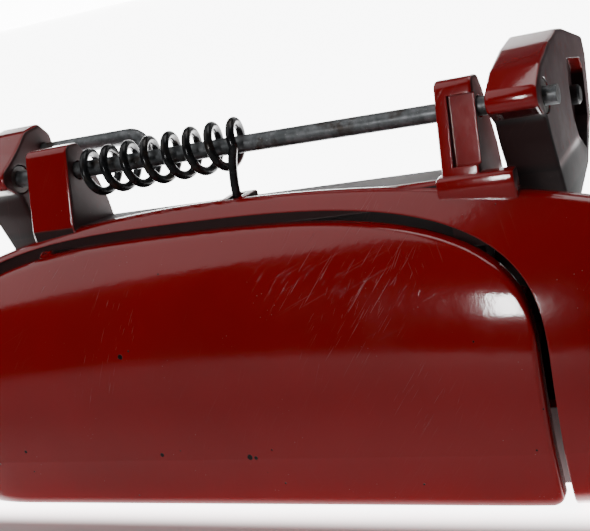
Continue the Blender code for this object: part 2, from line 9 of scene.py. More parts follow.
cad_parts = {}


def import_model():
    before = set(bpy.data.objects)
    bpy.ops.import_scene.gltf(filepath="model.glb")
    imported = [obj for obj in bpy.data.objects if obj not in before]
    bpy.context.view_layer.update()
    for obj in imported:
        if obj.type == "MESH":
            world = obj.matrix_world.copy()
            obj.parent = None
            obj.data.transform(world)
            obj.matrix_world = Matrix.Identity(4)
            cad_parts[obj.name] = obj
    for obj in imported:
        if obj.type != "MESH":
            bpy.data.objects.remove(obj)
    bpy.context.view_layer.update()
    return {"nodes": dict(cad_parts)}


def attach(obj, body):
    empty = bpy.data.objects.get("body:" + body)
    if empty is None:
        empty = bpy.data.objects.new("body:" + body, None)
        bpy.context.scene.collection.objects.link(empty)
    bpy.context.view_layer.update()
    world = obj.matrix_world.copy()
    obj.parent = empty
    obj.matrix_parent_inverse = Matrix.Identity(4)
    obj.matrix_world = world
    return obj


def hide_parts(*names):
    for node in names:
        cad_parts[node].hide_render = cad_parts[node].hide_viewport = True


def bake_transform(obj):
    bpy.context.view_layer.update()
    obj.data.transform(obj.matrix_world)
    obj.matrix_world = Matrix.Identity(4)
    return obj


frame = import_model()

MM = 0.001

# ---- driving dimensions, millimetres, measured from the hinge pin's axis --------------------
PIN_D = 3.5             # hinge pin
PIN_UP = 69.2           # pin axis above the origin
PIN_BACK = 5.0          # pin axis behind the seat plane
SEAT_Y = -5.0           # seat plane on the door skin
RIM_EDGE = 1.2          # thickness of the base at its outer edge
BASE_X0, BASE_X1 = -94.0, 110.0
BASE_TOP, BASE_BOTTOM, BASE_MID = -9.5, -72.0, -41.0
CREST_Y = -22.0         # how far the face stands out, at the crease
CREASE_Z = -58.0
LIP_SLOPE = 0.14
FACE_POWER = 3.2
ARCH = 0.0013
FLAP_X0, FLAP_X1 = -79.0, 59.5
FLAP_TOP, FLAP_BOTTOM, FLAP_MID = -14.3, -69.6, -45.0
FLAP_WALL = 2.8
GAP_TOP, GAP_SIDE = 2.1, 1.9
WELL_FLOOR = 4.0        # front face of the finger well's back wall
WELL_WALL = 2.2
TOWER_L = (-48.5, -37.3)
TOWER_R = (44.3, 51.5)
ARM_L = (-63.5, -53.0)
ARM_R = (53.9, 63.4)
PIN_END_X = 65.6
BUSH_D = 6.0
WIRE_D = 1.8
COIL_D = 8.7            # mean diameter of the return spring
COIL_X0, COIL_X1, COILS = -34.6, 3.2, 7.4
ROD_Y, ROD_Z = 11.0, 3.6    # the pin's returned end
LOCK_X, LOCK_Z = 80.0, -40.0
LOCK_D = 17.0
PLUG_D = 11.5
CLEAR = 0.3


def world(x, y, z):
    return Vector((x, y + PIN_BACK, z + PIN_UP)) * MM


def superellipse(t, n):
    return max(0.0, 1.0 - min(1.0, abs(t)) ** n) ** (1.0 / n)


def base_top(x):
    t = (x - (BASE_X0 + BASE_X1) / 2) / ((BASE_X1 - BASE_X0) / 2)
    return BASE_MID + (BASE_TOP - BASE_MID) * superellipse(t, 4.0) - ARCH * (x + 3) ** 2 * superellipse(t, 4.0)


def base_bottom(x):
    t = (x - (BASE_X0 + BASE_X1) / 2) / ((BASE_X1 - BASE_X0) / 2)
    return BASE_MID + (BASE_BOTTOM - BASE_MID) * superellipse(t, 5.0)


def end_fall(x):
    """1 over the middle of the handle, falling to 0 at its two ends."""
    if x > 45.0:
        return 1.0 - min(1.0, (x - 45.0) / (BASE_X1 - 45.0)) ** 2.6
    if x < -60.0:
        return 1.0 - min(1.0, (-60.0 - x) / (-60.0 - BASE_X0)) ** 2.4
    return 1.0


def face_y(x, z):
    """The outer styling surface, shared by the base and the flap."""
    edge = SEAT_Y - RIM_EDGE
    if z >= CREASE_Z:
        top = min(-9.0, BASE_TOP + 0.3 - ARCH * (x + 3) ** 2)
        u = min(1.0, (z - CREASE_Z) / (top - CREASE_Z))
        y = CREST_Y + (edge - CREST_Y) * u ** FACE_POWER
    else:
        y = CREST_Y + (CREASE_Z - z) * LIP_SLOPE
    return edge + (y - edge) * end_fall(x)


def flap_top(x):
    t = (x - (FLAP_X0 + FLAP_X1) / 2) / ((FLAP_X1 - FLAP_X0) / 2)
    return FLAP_MID + (FLAP_TOP - 0.0006 * (x + 9) ** 2 * superellipse(t, 3.5) - FLAP_MID) * superellipse(t, 3.5)



def add(name, bm):
    bmesh.ops.recalc_face_normals(bm, faces=bm.faces[:])
    mesh = bpy.data.meshes.new(name)
    bm.to_mesh(mesh)
    bm.free()
    obj = bpy.data.objects.new(name, mesh)
    bpy.context.scene.collection.objects.link(obj)
    return obj


def boolean(obj, other, operation):
    """Does the Boolean at once, and removes the other shape."""
    mod = obj.modifiers.new(other.name, "BOOLEAN")
    mod.operation = operation
    mod.solver = "EXACT"
    mod.object = other
    bpy.context.view_layer.update()
    graph = bpy.context.evaluated_depsgraph_get()
    mesh = bpy.data.meshes.new_from_object(obj.evaluated_get(graph))
    old = obj.data
    obj.modifiers.clear()
    obj.data = mesh
    bpy.data.meshes.remove(old)
    gone = other.data
    bpy.data.objects.remove(other, do_unlink=True)
    bpy.data.meshes.remove(gone)


def helper(name, bm):
    return add(name, bm)


def loft_columns(xs, rows_front, rows_back):
    """A closed slab: for every x a column of front points and one of back points, joined all round."""
    bm = bmesh.new()
    front = [[bm.verts.new(p) for p in rows_front(x)] for x in xs]
    back = [[bm.verts.new(p) for p in rows_back(x)] for x in xs]
    m = len(front[0])
    for i in range(len(xs) - 1):
        for j in range(m - 1):
            bm.faces.new((front[i][j], front[i + 1][j], front[i + 1][j + 1], front[i][j + 1]))
            bm.faces.new((back[i][j], back[i][j + 1], back[i + 1][j + 1], back[i + 1][j]))
        bm.faces.new((front[i][0], back[i][0], back[i + 1][0], front[i + 1][0]))
        bm.faces.new((front[i][m - 1], front[i + 1][m - 1], back[i + 1][m - 1], back[i][m - 1]))
    for i in (0, len(xs) - 1):
        for j in range(m - 1):
            bm.faces.new((front[i][j], front[i][j + 1], back[i][j + 1], back[i][j]))
    return bm


def prism_x(profile, x0, x1, bevel=0.0, segments=2):
    """A profile of (y, z) points, extruded from x0 to x1."""
    bm = bmesh.new()
    a = [bm.verts.new(world(x0, y, z)) for y, z in profile]
    b = [bm.verts.new(world(x1, y, z)) for y, z in profile]
    bm.faces.new(a)
    bm.faces.new(b[::-1])
    n = len(profile)
    for i in range(n):
        bm.faces.new((a[i], b[i], b[(i + 1) % n], a[(i + 1) % n]))
    bmesh.ops.recalc_face_normals(bm, faces=bm.faces[:])
    if bevel:
        bmesh.ops.bevel(bm, geom=bm.edges[:], offset=bevel * MM, segments=segments, profile=0.5, affect="EDGES", clamp_overlap=True)
    return bm


def prism_y(outline, y0, y1):
    """An outline of (x, z) points, extruded from y0 to y1."""
    bm = bmesh.new()
    a = [bm.verts.new(world(x, y0, z)) for x, z in outline]
    b = [bm.verts.new(world(x, y1, z)) for x, z in outline]
    bm.faces.new(a)
    bm.faces.new(b[::-1])
    n = len(outline)
    for i in range(n):
        bm.faces.new((a[i], b[i], b[(i + 1) % n], a[(i + 1) % n]))
    return bm


def box(x0, x1, y0, y1, z0, z1, bevel=0.0, segments=2):
    return prism_x([(y0, z0), (y1, z0), (y1, z1), (y0, z1)], x0, x1, bevel, segments)


def turned(profile, centre, axis, sides=32):
    """A profile of (distance along the axis, radius), turned about the axis through centre."""
    bm = bmesh.new()
    axis = Vector(axis).normalized()
    side = axis.orthogonal().normalized()
    up = axis.cross(side)
    rings = []
    for along, radius in profile:
        here = centre + axis * along * MM
        if radius <= 1e-6:
            rings.append([bm.verts.new(here)])
        else:
            rings.append([bm.verts.new(here + (side * math.cos(a) + up * math.sin(a)) * radius * MM)
                          for a in (2 * math.pi * k / sides for k in range(sides))])
    closed = profile[0] == profile[-1]
    if closed:
        rings[-1] = rings[0]
    for r, s in zip(rings, rings[1:]):
        for k in range(sides):
            n = (k + 1) % sides
            quad = [r[k % len(r)], r[n % len(r)], s[n % len(s)], s[k % len(s)]]
            quad = [v for i, v in enumerate(quad) if v not in quad[:i]]
            if len(quad) > 2:
                bm.faces.new(quad)
    if not closed:
        for ring in (rings[0], rings[-1]):
            if len(ring) > 1:
                bm.faces.new(ring)
    return bm


def tube(points, radius, sides=10):
    """A round bar swept along the points, with a turning frame that doesn't twist."""
    bm = bmesh.new()
    points = [Vector(p) for p in points]
    rings = []
    normal = None
    for i, p in enumerate(points):
        t = (points[min(i + 1, len(points) - 1)] - points[max(i - 1, 0)]).normalized()
        normal = t.orthogonal().normalized() if normal is None else (normal - t * normal.dot(t)).normalized()
        other = t.cross(normal)
        rings.append([bm.verts.new(p + (normal * math.cos(a) + other * math.sin(a)) * radius * MM)
                      for a in (2 * math.pi * k / sides for k in range(sides))])
    for r, s in zip(rings, rings[1:]):
        for k in range(sides):
            n = (k + 1) % sides
            bm.faces.new((r[k], r[n], s[n], s[k]))
    bm.faces.new(rings[0][::-1])
    bm.faces.new(rings[-1])
    return bm


def spread(a, b, n, ease=0.0):
    """n + 1 values from a to b, closer together near both ends as ease goes to 1."""
    out = []
    for i in range(n + 1):
        t = i / n
        s = 0.5 - 0.5 * math.cos(math.pi * t)
        out.append(a + (b - a) * (t + (s - t) * ease))
    return out



# ---- base, as a smooth skin -------------------------------------------------------------------
def base_rows(x):
    top, bottom = base_top(x), base_bottom(x)
    crease = min(max(CREASE_Z, bottom + 0.2 * (top - bottom)), top - 0.2 * (top - bottom))
    zs = spread(bottom, crease, 12, 0.9)[:-1] + spread(crease, top, 38, 0.92)
    return zs, top, bottom


def edge_roll(d, r):
    """How far the face falls back at a distance d from an edge rounded to r."""
    return r - math.sqrt(max(0.0, r * r - (r - d) ** 2)) if d < r else 0.0


def base_front(x):
    zs, top, bottom = base_rows(x)
    out = []
    for z in zs:
        y = face_y(x, z)
        if z < BASE_MID:
            t = (BASE_MID - z) / (BASE_MID - BASE_BOTTOM)
            w = max(0.0, 1.0 - (t / max(1e-6, (BASE_MID - bottom) / (BASE_MID - BASE_BOTTOM))) ** 22) ** 0.5
            y = SEAT_Y - RIM_EDGE + (y - SEAT_Y + RIM_EDGE) * w
        y = min(y + edge_roll(max(0.0, top - z), 0.9), SEAT_Y - 0.25)
        out.append(world(x, y, z))
    return out


def base_back(x):
    return [world(x, SEAT_Y, z) for z in base_rows(x)[0]]


xs = spread(BASE_X0 + 0.25, BASE_X1 - 0.25, 130, 0.85)
base = add("base_paint", loft_columns(xs, base_front, base_back))

# the tray behind the flap, whose inside is the finger well
tray = helper("u_tray", box(-49.9, 46.4, SEAT_Y - 2.2, WELL_FLOOR + WELL_WALL, -66.5, -13.0, 2.0, 8))
boolean(base, tray, "UNION")
# raised land along the top, behind the rim, that carries the towers
boolean(base, helper("u_land", prism_x([(SEAT_Y - 1.0, -11.6), (SEAT_Y + 0.2, -11.2), (8.4, -12.4), (8.6, -15.6), (SEAT_Y - 1.0, -17.0)], -49.6, 46.0, 0.6, 5)), "UNION")


def tower_profile():
    return [(-1.2, 5.9), (-2.4, 5.2), (-7.3, -10.6), (-7.0, -14.0), (8.6, -14.6), (7.9, -8.4), (4.2, 2.6), (2.4, 5.6)]


boolean(base, helper("u_tower_left", prism_x(tower_profile(), *TOWER_L, 1.5, 8)), "UNION")
boolean(base, helper("u_tower_right", prism_x(tower_profile(), *TOWER_R, 1.3, 8)), "UNION")
# small raised pad on the rim in front of the right tower
boolean(base, helper("u_pad", prism_x([(SEAT_Y - 3.4, -12.6), (SEAT_Y - 2.9, -10.5), (SEAT_Y + 0.1, -10.3), (SEAT_Y + 0.1, -16.0), (SEAT_Y - 3.0, -16.0)], 43.2, 57.6, 0.7, 6)), "UNION")
# box behind the right arm's window, open at the top
boolean(base, helper("u_arm_box", box(45.6, 59.8, SEAT_Y - 1.6, 11.4, -57.8, -31.0)), "UNION")
boolean(base, helper("u_arm_box_lip", box(44.0, 53.0, 9.7, 11.4, -32.0, -25.2)), "UNION")
# notch block that holds the spring's right leg
boolean(base, helper("u_notch", prism_x([(SEAT_Y - 1.0, -12.2), (SEAT_Y - 0.6, -9.4), (0.2, -9.4), (0.2, -13.2), (SEAT_Y - 0.6, -13.2)], -2.2, 3.8, 0.6, 5)), "UNION")
# lock housing behind the right end, and the two screw bosses
boolean(base, helper("u_lock", turned([(-1.5, LOCK_D / 2 + 2.2), (27.0, LOCK_D / 2 + 2.0), (27.6, LOCK_D / 2 + 1.5)], world(LOCK_X, SEAT_Y, LOCK_Z), (0, 1, 0), 96)), "UNION")
for side, bx, bz in (("left", -82.0, -42.0), ("right", 99.5, -41.0)):
    boolean(base, helper("u_boss_" + side, turned([(-2.6, 5.2), (5.4, 4.8), (6.0, 4.2)], world(bx, SEAT_Y, bz), (0, 1, 0), 64)), "UNION")


# recess that the flap sits in
def opening_outline(gap_top, gap_side, bottom, steps=120):
    c, a = (FLAP_X0 + FLAP_X1) / 2, (FLAP_X1 - FLAP_X0) / 2
    pts = []
    for x in spread(FLAP_X0 + 0.02, FLAP_X1 - 0.02, steps, 1.0):
        s = (x - c) / a
        pts.append((x + gap_side * s, flap_top(x) + gap_top * (1 - abs(s) ** 6 * 0.7)))
    pts.append((pts[-1][0] - 0.4, bottom))
    pts.append((pts[0][0] + 0.4, bottom))
    return pts


boolean(base, helper("c_flap_recess", prism_y(opening_outline(GAP_TOP, GAP_SIDE, -90.0), -60.0, -7.6)), "DIFFERENCE")
# the well itself, open to the recess
boolean(base, helper("c_well", box(-48.6, 44.6, -10.4, WELL_FLOOR, -63.5, -15.0, 2.6, 8)), "DIFFERENCE")
# windows that the flap's arms pass through, left and right of the well
boolean(base, helper("c_arm_window_left", box(-64.6, -51.6, -9.5, 20.0, -56.0, -19.8)), "DIFFERENCE")
boolean(base, helper("c_arm_window_right", box(47.6, 58.0, -9.5, 9.8, -56.0, -23.6)), "DIFFERENCE")
# grooves that drain the seat, either side of the strip below the well
for side, gx in (("left", -40.0), ("right", 40.0)):
    boolean(base, helper("c_drain_" + side, box(gx - 0.6, gx + 0.6, SEAT_Y - 0.8, SEAT_Y + 3.0, -80.0, -66.9)), "DIFFERENCE")


# hollow back of the right end, which is a shell like the rest
def hollow(x):
    zs = spread(-64.0, -24.0, 10, 0.4)
    return zs


def hollow_front(x):
    return [world(x, min(face_y(x, z) + 2.6, SEAT_Y - 0.1), z) for z in hollow(x)]


def hollow_back(x):
    return [world(x, 30.0, z) for z in hollow(x)]


lug = helper("k_lock_keep", turned([(-30.0, LOCK_D / 2 + 2.2), (40.0, LOCK_D / 2 + 2.2)], world(LOCK_X, SEAT_Y, LOCK_Z), (0, 1, 0), 96))
boss_keep = helper("k_boss_keep", turned([(-30.0, 5.3), (40.0, 5.3)], world(99.5, SEAT_Y, -41.0), (0, 1, 0), 64))
pocket = helper("c_end_pocket", loft_columns(spread(64.2, 92.0, 10, 0.2), hollow_front, hollow_back))
boolean(pocket, lug, "DIFFERENCE")
boolean(pocket, boss_keep, "DIFFERENCE")
boolean(base, pocket, "DIFFERENCE")

# bores
boolean(base, helper("c_lock_bore", turned([(-40.0, LOCK_D / 2 + 0.3), (60.0, LOCK_D / 2 + 0.3)], world(LOCK_X, SEAT_Y, LOCK_Z), (0, 1, 0), 96)), "DIFFERENCE")
boolean(base, helper("c_pin_bore", turned([(-60.0, PIN_D / 2 + 0.35), (60.0, PIN_D / 2 + 0.35)], world(0, 0, 0), (1, 0, 0), 72)), "DIFFERENCE")
boolean(base, helper("c_leg_slot", box(-0.4, 2.0, -5.4, -1.6, -12.4, -5.0)), "DIFFERENCE")
for side, bx, bz in (("left", -82.0, -42.0), ("right", 99.5, -41.0)):
    boolean(base, helper("c_stud_" + side, turned([(-0.2, 2.8), (20.0, 2.8)], world(bx, SEAT_Y, bz), (0, 1, 0), 64)), "DIFFERENCE")
# recessed web on the right tower's front face
boolean(base, helper("c_tower_web", prism_x([(-9.5, 3.2), (-1.9, 3.2), (-5.2, -9.0), (-12.0, -9.0)], TOWER_R[0] + 2.4, TOWER_R[1] + 1.0)), "DIFFERENCE")


# ---- flap, as a smooth skin -------------------------------------------------------------------
PIVOT = world(0, 0, 0)


def flap_rows(x):
    top, bottom = flap_top(x), FLAP_BOTTOM
    d = min(x - FLAP_X0, FLAP_X1 - x)
    if d < 2.5:
        bottom += 2.5 - math.sqrt(max(0.0, 2.5 ** 2 - (2.5 - d) ** 2))
    return spread(bottom, CREASE_Z, 10, 0.9)[:-1] + spread(CREASE_Z, top, 40, 0.95), top, bottom


def flap_point(x, z, depth):
    zs, top, bottom = flap_rows(x)
    y = face_y(x, z)
    y += edge_roll(min(top - z, z - bottom, x - FLAP_X0, FLAP_X1 - x), 1.1)
    return world(x, y if depth == 0 else face_y(x, z) + depth, z)


def flap_front(x):
    return [flap_point(x, z, 0) for z in flap_rows(x)[0]]


def flap_back(x):
    return [flap_point(x, z, FLAP_WALL) for z in flap_rows(x)[0]]


fx = spread(FLAP_X0 + 0.05, FLAP_X1 - 0.05, 130, 0.95)
flap = add("flap_paint", loft_columns(fx, flap_front, flap_back))


def arm_head(deep):
    """The arm above the rim: nose, sloping roof, and the back, which is deeper where the latch rod joins it."""
    nose = [(5.6, -24.0), (3.5, -18.4), (0.9, -11.6), (-0.6, -8.0), (-1.6, -3.6), (-5.5, -0.7), (-6.0, 1.0), (-5.2, 2.8), (0.6, 5.8)]
    if deep:
        return nose + [(10.0, 8.0), (18.0, 9.0), (24.0, 8.2), (41.0, 4.0), (42.0, 0.0), (38.0, -12.0), (28.0, -20.0), (12.0, -24.5)]
    return nose + [(6.0, 9.4), (11.5, 10.0), (14.4, 7.0), (15.2, 0.0), (13.0, -12.0), (10.2, -22.0), (9.0, -24.0)]


def arm_foot():
    """The arm below the rim, reaching forward to the back of the flap."""
    return [(7.0, -22.6), (7.6, -18.6), (10.4, -18.6), (10.0, -23.0), (6.6, -32.0), (-4.0, -41.0), (-14.0, -48.4), (-20.1, -50.2), (-19.6, -41.0), (-18.2, -34.6), (-16.6, -31.4), (-9.0, -31.0), (-2.6, -29.8)]


for side, (a, b), (c, d) in (("left", ARM_L, (-62.6, -54.6)), ("right", ARM_R, (48.8, 56.8))):
    boolean(flap, helper("u_arm_head_" + side, prism_x(arm_head(side == "right"), a, b, 1.3, 8)), "UNION")
    boolean(flap, helper("u_arm_foot_" + side, prism_x(arm_foot(), c, d, 0.9, 6)), "UNION")
boolean(flap, helper("c_arm_pocket", prism_x([(22.0, 2.6), (35.0, 0.4), (36.4, -2.0), (34.0, -11.0), (28.0, -16.6), (22.6, -13.0), (20.0, -8.0), (20.6, -1.0)], ARM_R[1] - 2.4, ARM_R[1] + 1)), "DIFFERENCE")
# bores for the bushes
boolean(flap, helper("c_bush_bore", turned([(-90.0, BUSH_D / 2 + 0.25), (90.0, BUSH_D / 2 + 0.25)], PIVOT, (1, 0, 0), 72)), "DIFFERENCE")
# bore in the left arm for the pin's returned end, which makes the pin turn with the flap
boolean(flap, helper("c_return_bore", turned([(-70.0, PIN_D / 2 + 0.3), (-40.0, PIN_D / 2 + 0.3)], world(0, ROD_Y, ROD_Z), (1, 0, 0), 64)), "DIFFERENCE")
# hole in the right arm's tail for the rod clip
ROD_CLIP = (ARM_R[0], 30.0, -6.0)
boolean(flap, helper("c_rod_hole", turned([(-4.0, 2.3), (20.0, 2.3)], world(*ROD_CLIP), (1, 0, 0), 64)), "DIFFERENCE")



# ---- pin and spring ----
def arc(centre, radius, a0, a1, n, ex, ey):
    return [centre + (ex * math.cos(a0 + (a1 - a0) * k / n) + ey * math.sin(a0 + (a1 - a0) * k / n)) * radius for k in range(n + 1)]


ex = Vector((1, 0, 0))
out = Vector((0, ROD_Y, ROD_Z)).normalized()
reach = math.hypot(ROD_Y, ROD_Z)
pin_points = [world(PIN_END_X, 0, 0), world(40, 0, 0), world(0, 0, 0), world(-40, 0, 0)]
bend = reach / 2
pin_points += arc(world(-66.5, 0, 0) + out * bend * MM, bend * MM, math.radians(-90), math.radians(-270), 40, ex, out)
pin_points += [world(-50, ROD_Y, ROD_Z), world(-34, ROD_Y, ROD_Z)]
tip_dir = Vector((0, -0.35, -0.94)).normalized()
tip = 4.0
pin_points += arc(world(-30.0, ROD_Y, ROD_Z) + tip_dir * tip * MM, tip * MM, math.radians(90), math.radians(0), 20, ex, -tip_dir)
pin_points += [pin_points[-1] + tip_dir * 3.2 * MM]
pin = add("pin_steel", tube(pin_points, PIN_D / 2, 48))



def coil_points(per_turn=56):
    n = int(COILS * per_turn)
    r = COIL_D / 2
    pts = []
    end_angle = math.radians(180)
    for k in range(n + 1):
        t = k / n
        x = COIL_X1 + (COIL_X0 - COIL_X1) * t
        a = end_angle - 2 * math.pi * COILS * t
        pts.append(world(x, r * math.cos(a), 0.45 + r * math.sin(a) - 1.5 * t))
    return pts


coil = coil_points()
leg_top = coil[0]
leg = [leg_top + Vector((-0.0024, 0.0008, -0.0112)), leg_top + Vector((-0.0020, 0.0005, -0.0070)), leg_top + Vector((-0.0010, 0.0001, -0.0026))]
leg_knots = leg + coil[:2]
leg_curve = []
for i in range(len(leg)):
    p0, p1, p2 = leg_knots[max(i - 1, 0)], leg_knots[i], leg_knots[i + 1]
    p3 = leg_knots[min(i + 2, len(leg_knots) - 1)]
    for k in range(8):
        t = k / 8
        leg_curve.append(0.5 * ((2 * p1) + (p2 - p0) * t + (2 * p0 - 5 * p1 + 4 * p2 - p3) * t * t + (3 * p1 - p0 - 3 * p2 + p3) * t ** 3))
spring = add("spring_wire", tube(leg_curve + coil, WIRE_D / 2, 18))



for piece in (base, flap, pin, spring):
    mesh = piece.data
    mesh.polygons.foreach_set("use_smooth", [True] * len(mesh.polygons))
    mesh.set_sharp_from_angle(angle=math.radians(32))


# ---- materials --------------------------------------------------------------------------------
class Graph:
    """Short names for building a node material."""

    def __init__(self, name):
        self.mat = bpy.data.materials.new(name)
        self.mat.use_nodes = True
        self.tree = self.mat.node_tree
        self.tree.nodes.clear()
        self.out = self.node("ShaderNodeOutputMaterial")
        self.shader = self.node("ShaderNodeBsdfPrincipled")
        self.link(self.shader.outputs[0], self.out.inputs[0])
        self.coord = self.node("ShaderNodeTexCoord")
        self.place = self.coord.outputs["Object"]
        self.facing = self.coord.outputs["Normal"]
        xyz = self.node("ShaderNodeSeparateXYZ")
        self.link(self.place, xyz.inputs[0])
        self.x, self.y, self.z = xyz.outputs[0], xyz.outputs[1], xyz.outputs[2]
        nxyz = self.node("ShaderNodeSeparateXYZ")
        self.link(self.facing, nxyz.inputs[0])
        self.nx, self.ny, self.nz = nxyz.outputs[0], nxyz.outputs[1], nxyz.outputs[2]

    def node(self, kind):
        return self.tree.nodes.new(kind)

    def link(self, a, b):
        self.tree.links.new(a, b)

    def feed(self, socket, value):
        if isinstance(value, bpy.types.NodeSocket):
            self.link(value, socket)
        else:
            socket.default_value = value

    def math(self, operation, a, b=0.0, c=0.0, clamp=False):
        n = self.node("ShaderNodeMath")
        n.operation = operation
        n.use_clamp = clamp
        self.feed(n.inputs[0], a)
        self.feed(n.inputs[1], b)
        if len(n.inputs) > 2:
            self.feed(n.inputs[2], c)
        return n.outputs[0]

    def ramp(self, value, low, high, a=0.0, b=1.0, smooth=True):
        """value mapped from low..high to a..b, held at both ends."""
        n = self.node("ShaderNodeMapRange")
        n.interpolation_type = "SMOOTHSTEP" if smooth else "LINEAR"
        n.clamp = True
        self.feed(n.inputs[0], value)
        for i, v in zip((1, 2, 3, 4), (low, high, a, b)):
            self.feed(n.inputs[i], v)
        return n.outputs[0]

    def mapped(self, scale=(1, 1, 1), turn=(0, 0, 0), shift=(0, 0, 0)):
        n = self.node("ShaderNodeMapping")
        self.link(self.place, n.inputs["Vector"])
        n.inputs["Scale"].default_value = scale
        n.inputs["Rotation"].default_value = turn
        n.inputs["Location"].default_value = shift
        return n.outputs[0]

    def noise(self, scale, detail=3.0, rough=0.55, vector=None, distortion=0.0):
        n = self.node("ShaderNodeTexNoise")
        self.link(self.place if vector is None else vector, n.inputs["Vector"])
        n.inputs["Scale"].default_value = scale
        n.inputs["Detail"].default_value = detail
        n.inputs["Roughness"].default_value = rough
        n.inputs["Distortion"].default_value = distortion
        return n.outputs[0]

    def cells(self, scale, vector=None, feature="F1"):
        n = self.node("ShaderNodeTexVoronoi")
        n.feature = feature
        self.link(self.place if vector is None else vector, n.inputs["Vector"])
        n.inputs["Scale"].default_value = scale
        return n.outputs[0]

    def mix(self, factor, a, b):
        n = self.node("ShaderNodeMix")
        n.data_type = "RGBA"
        self.feed(n.inputs[0], factor)
        self.feed(n.inputs[6], a)
        self.feed(n.inputs[7], b)
        return n.outputs[2]

    def near(self, point, radius, wobble=0.35, scale=900.0):
        """1 within a ragged blot of that radius in millimetres about a point given on the pin's axes."""
        p = world(*point)
        n = self.node("ShaderNodeVectorMath")
        n.operation = "DISTANCE"
        self.link(self.place, n.inputs[0])
        n.inputs[1].default_value = p
        rag = self.math("MULTIPLY", self.math("SUBTRACT", self.noise(scale, 4.0), 0.5), 2.0 * wobble * radius * MM)
        d = self.math("ADD", n.outputs[1], rag)
        soft = 0.1 if radius < 3.0 else 0.5
        return self.ramp(d, radius * MM * (1 - soft), radius * MM * (1 + soft), 1.0, 0.0)

    def most(self, *values):
        out = values[0]
        for v in values[1:]:
            out = self.math("MAXIMUM", out, v)
        return out

    def times(self, *values):
        out = values[0]
        for v in values[1:]:
            out = self.math("MULTIPLY", out, v)
        return out

    def bump(self, height, distance, strength=1.0, under=None):
        n = self.node("ShaderNodeBump")
        n.inputs["Strength"].default_value = strength
        n.inputs["Distance"].default_value = distance
        self.feed(n.inputs["Height"], height)
        if under is not None:
            self.link(under, n.inputs["Normal"])
        return n.outputs[0]

    def rounded(self, radius):
        n = self.node("ShaderNodeBevel")
        n.samples = 4
        n.inputs["Radius"].default_value = radius * MM
        return n.outputs[0]

    def set(self, **values):
        for key, value in values.items():
            self.feed(self.shader.inputs[key.replace("_", " ")], value)


def streaks(g, angle, fine, long, low, high, patch_scale, patch_low, patch_high, shift=0.0):
    """Thin scratches across the face, at an angle from +X, gathered in patches."""
    turned_place = g.mapped((1, 1, 1), (0.0, math.radians(angle), 0.0))
    stretch = g.node("ShaderNodeMapping")
    g.link(turned_place, stretch.inputs["Vector"])
    stretch.inputs["Scale"].default_value = (long, 40.0, fine)
    stretch.inputs["Location"].default_value = (shift, shift * 0.3, shift * 0.7)
    v = stretch.outputs[0]
    line = g.ramp(g.noise(1.0, 2.0, 0.5, v), low, high)
    patch = g.ramp(g.noise(patch_scale, 2.0, 0.5, g.mapped((1, 1, 1), (0, 0, 0), (shift + 3.1, 1.7, shift))), patch_low, patch_high)
    return g.times(line, patch)


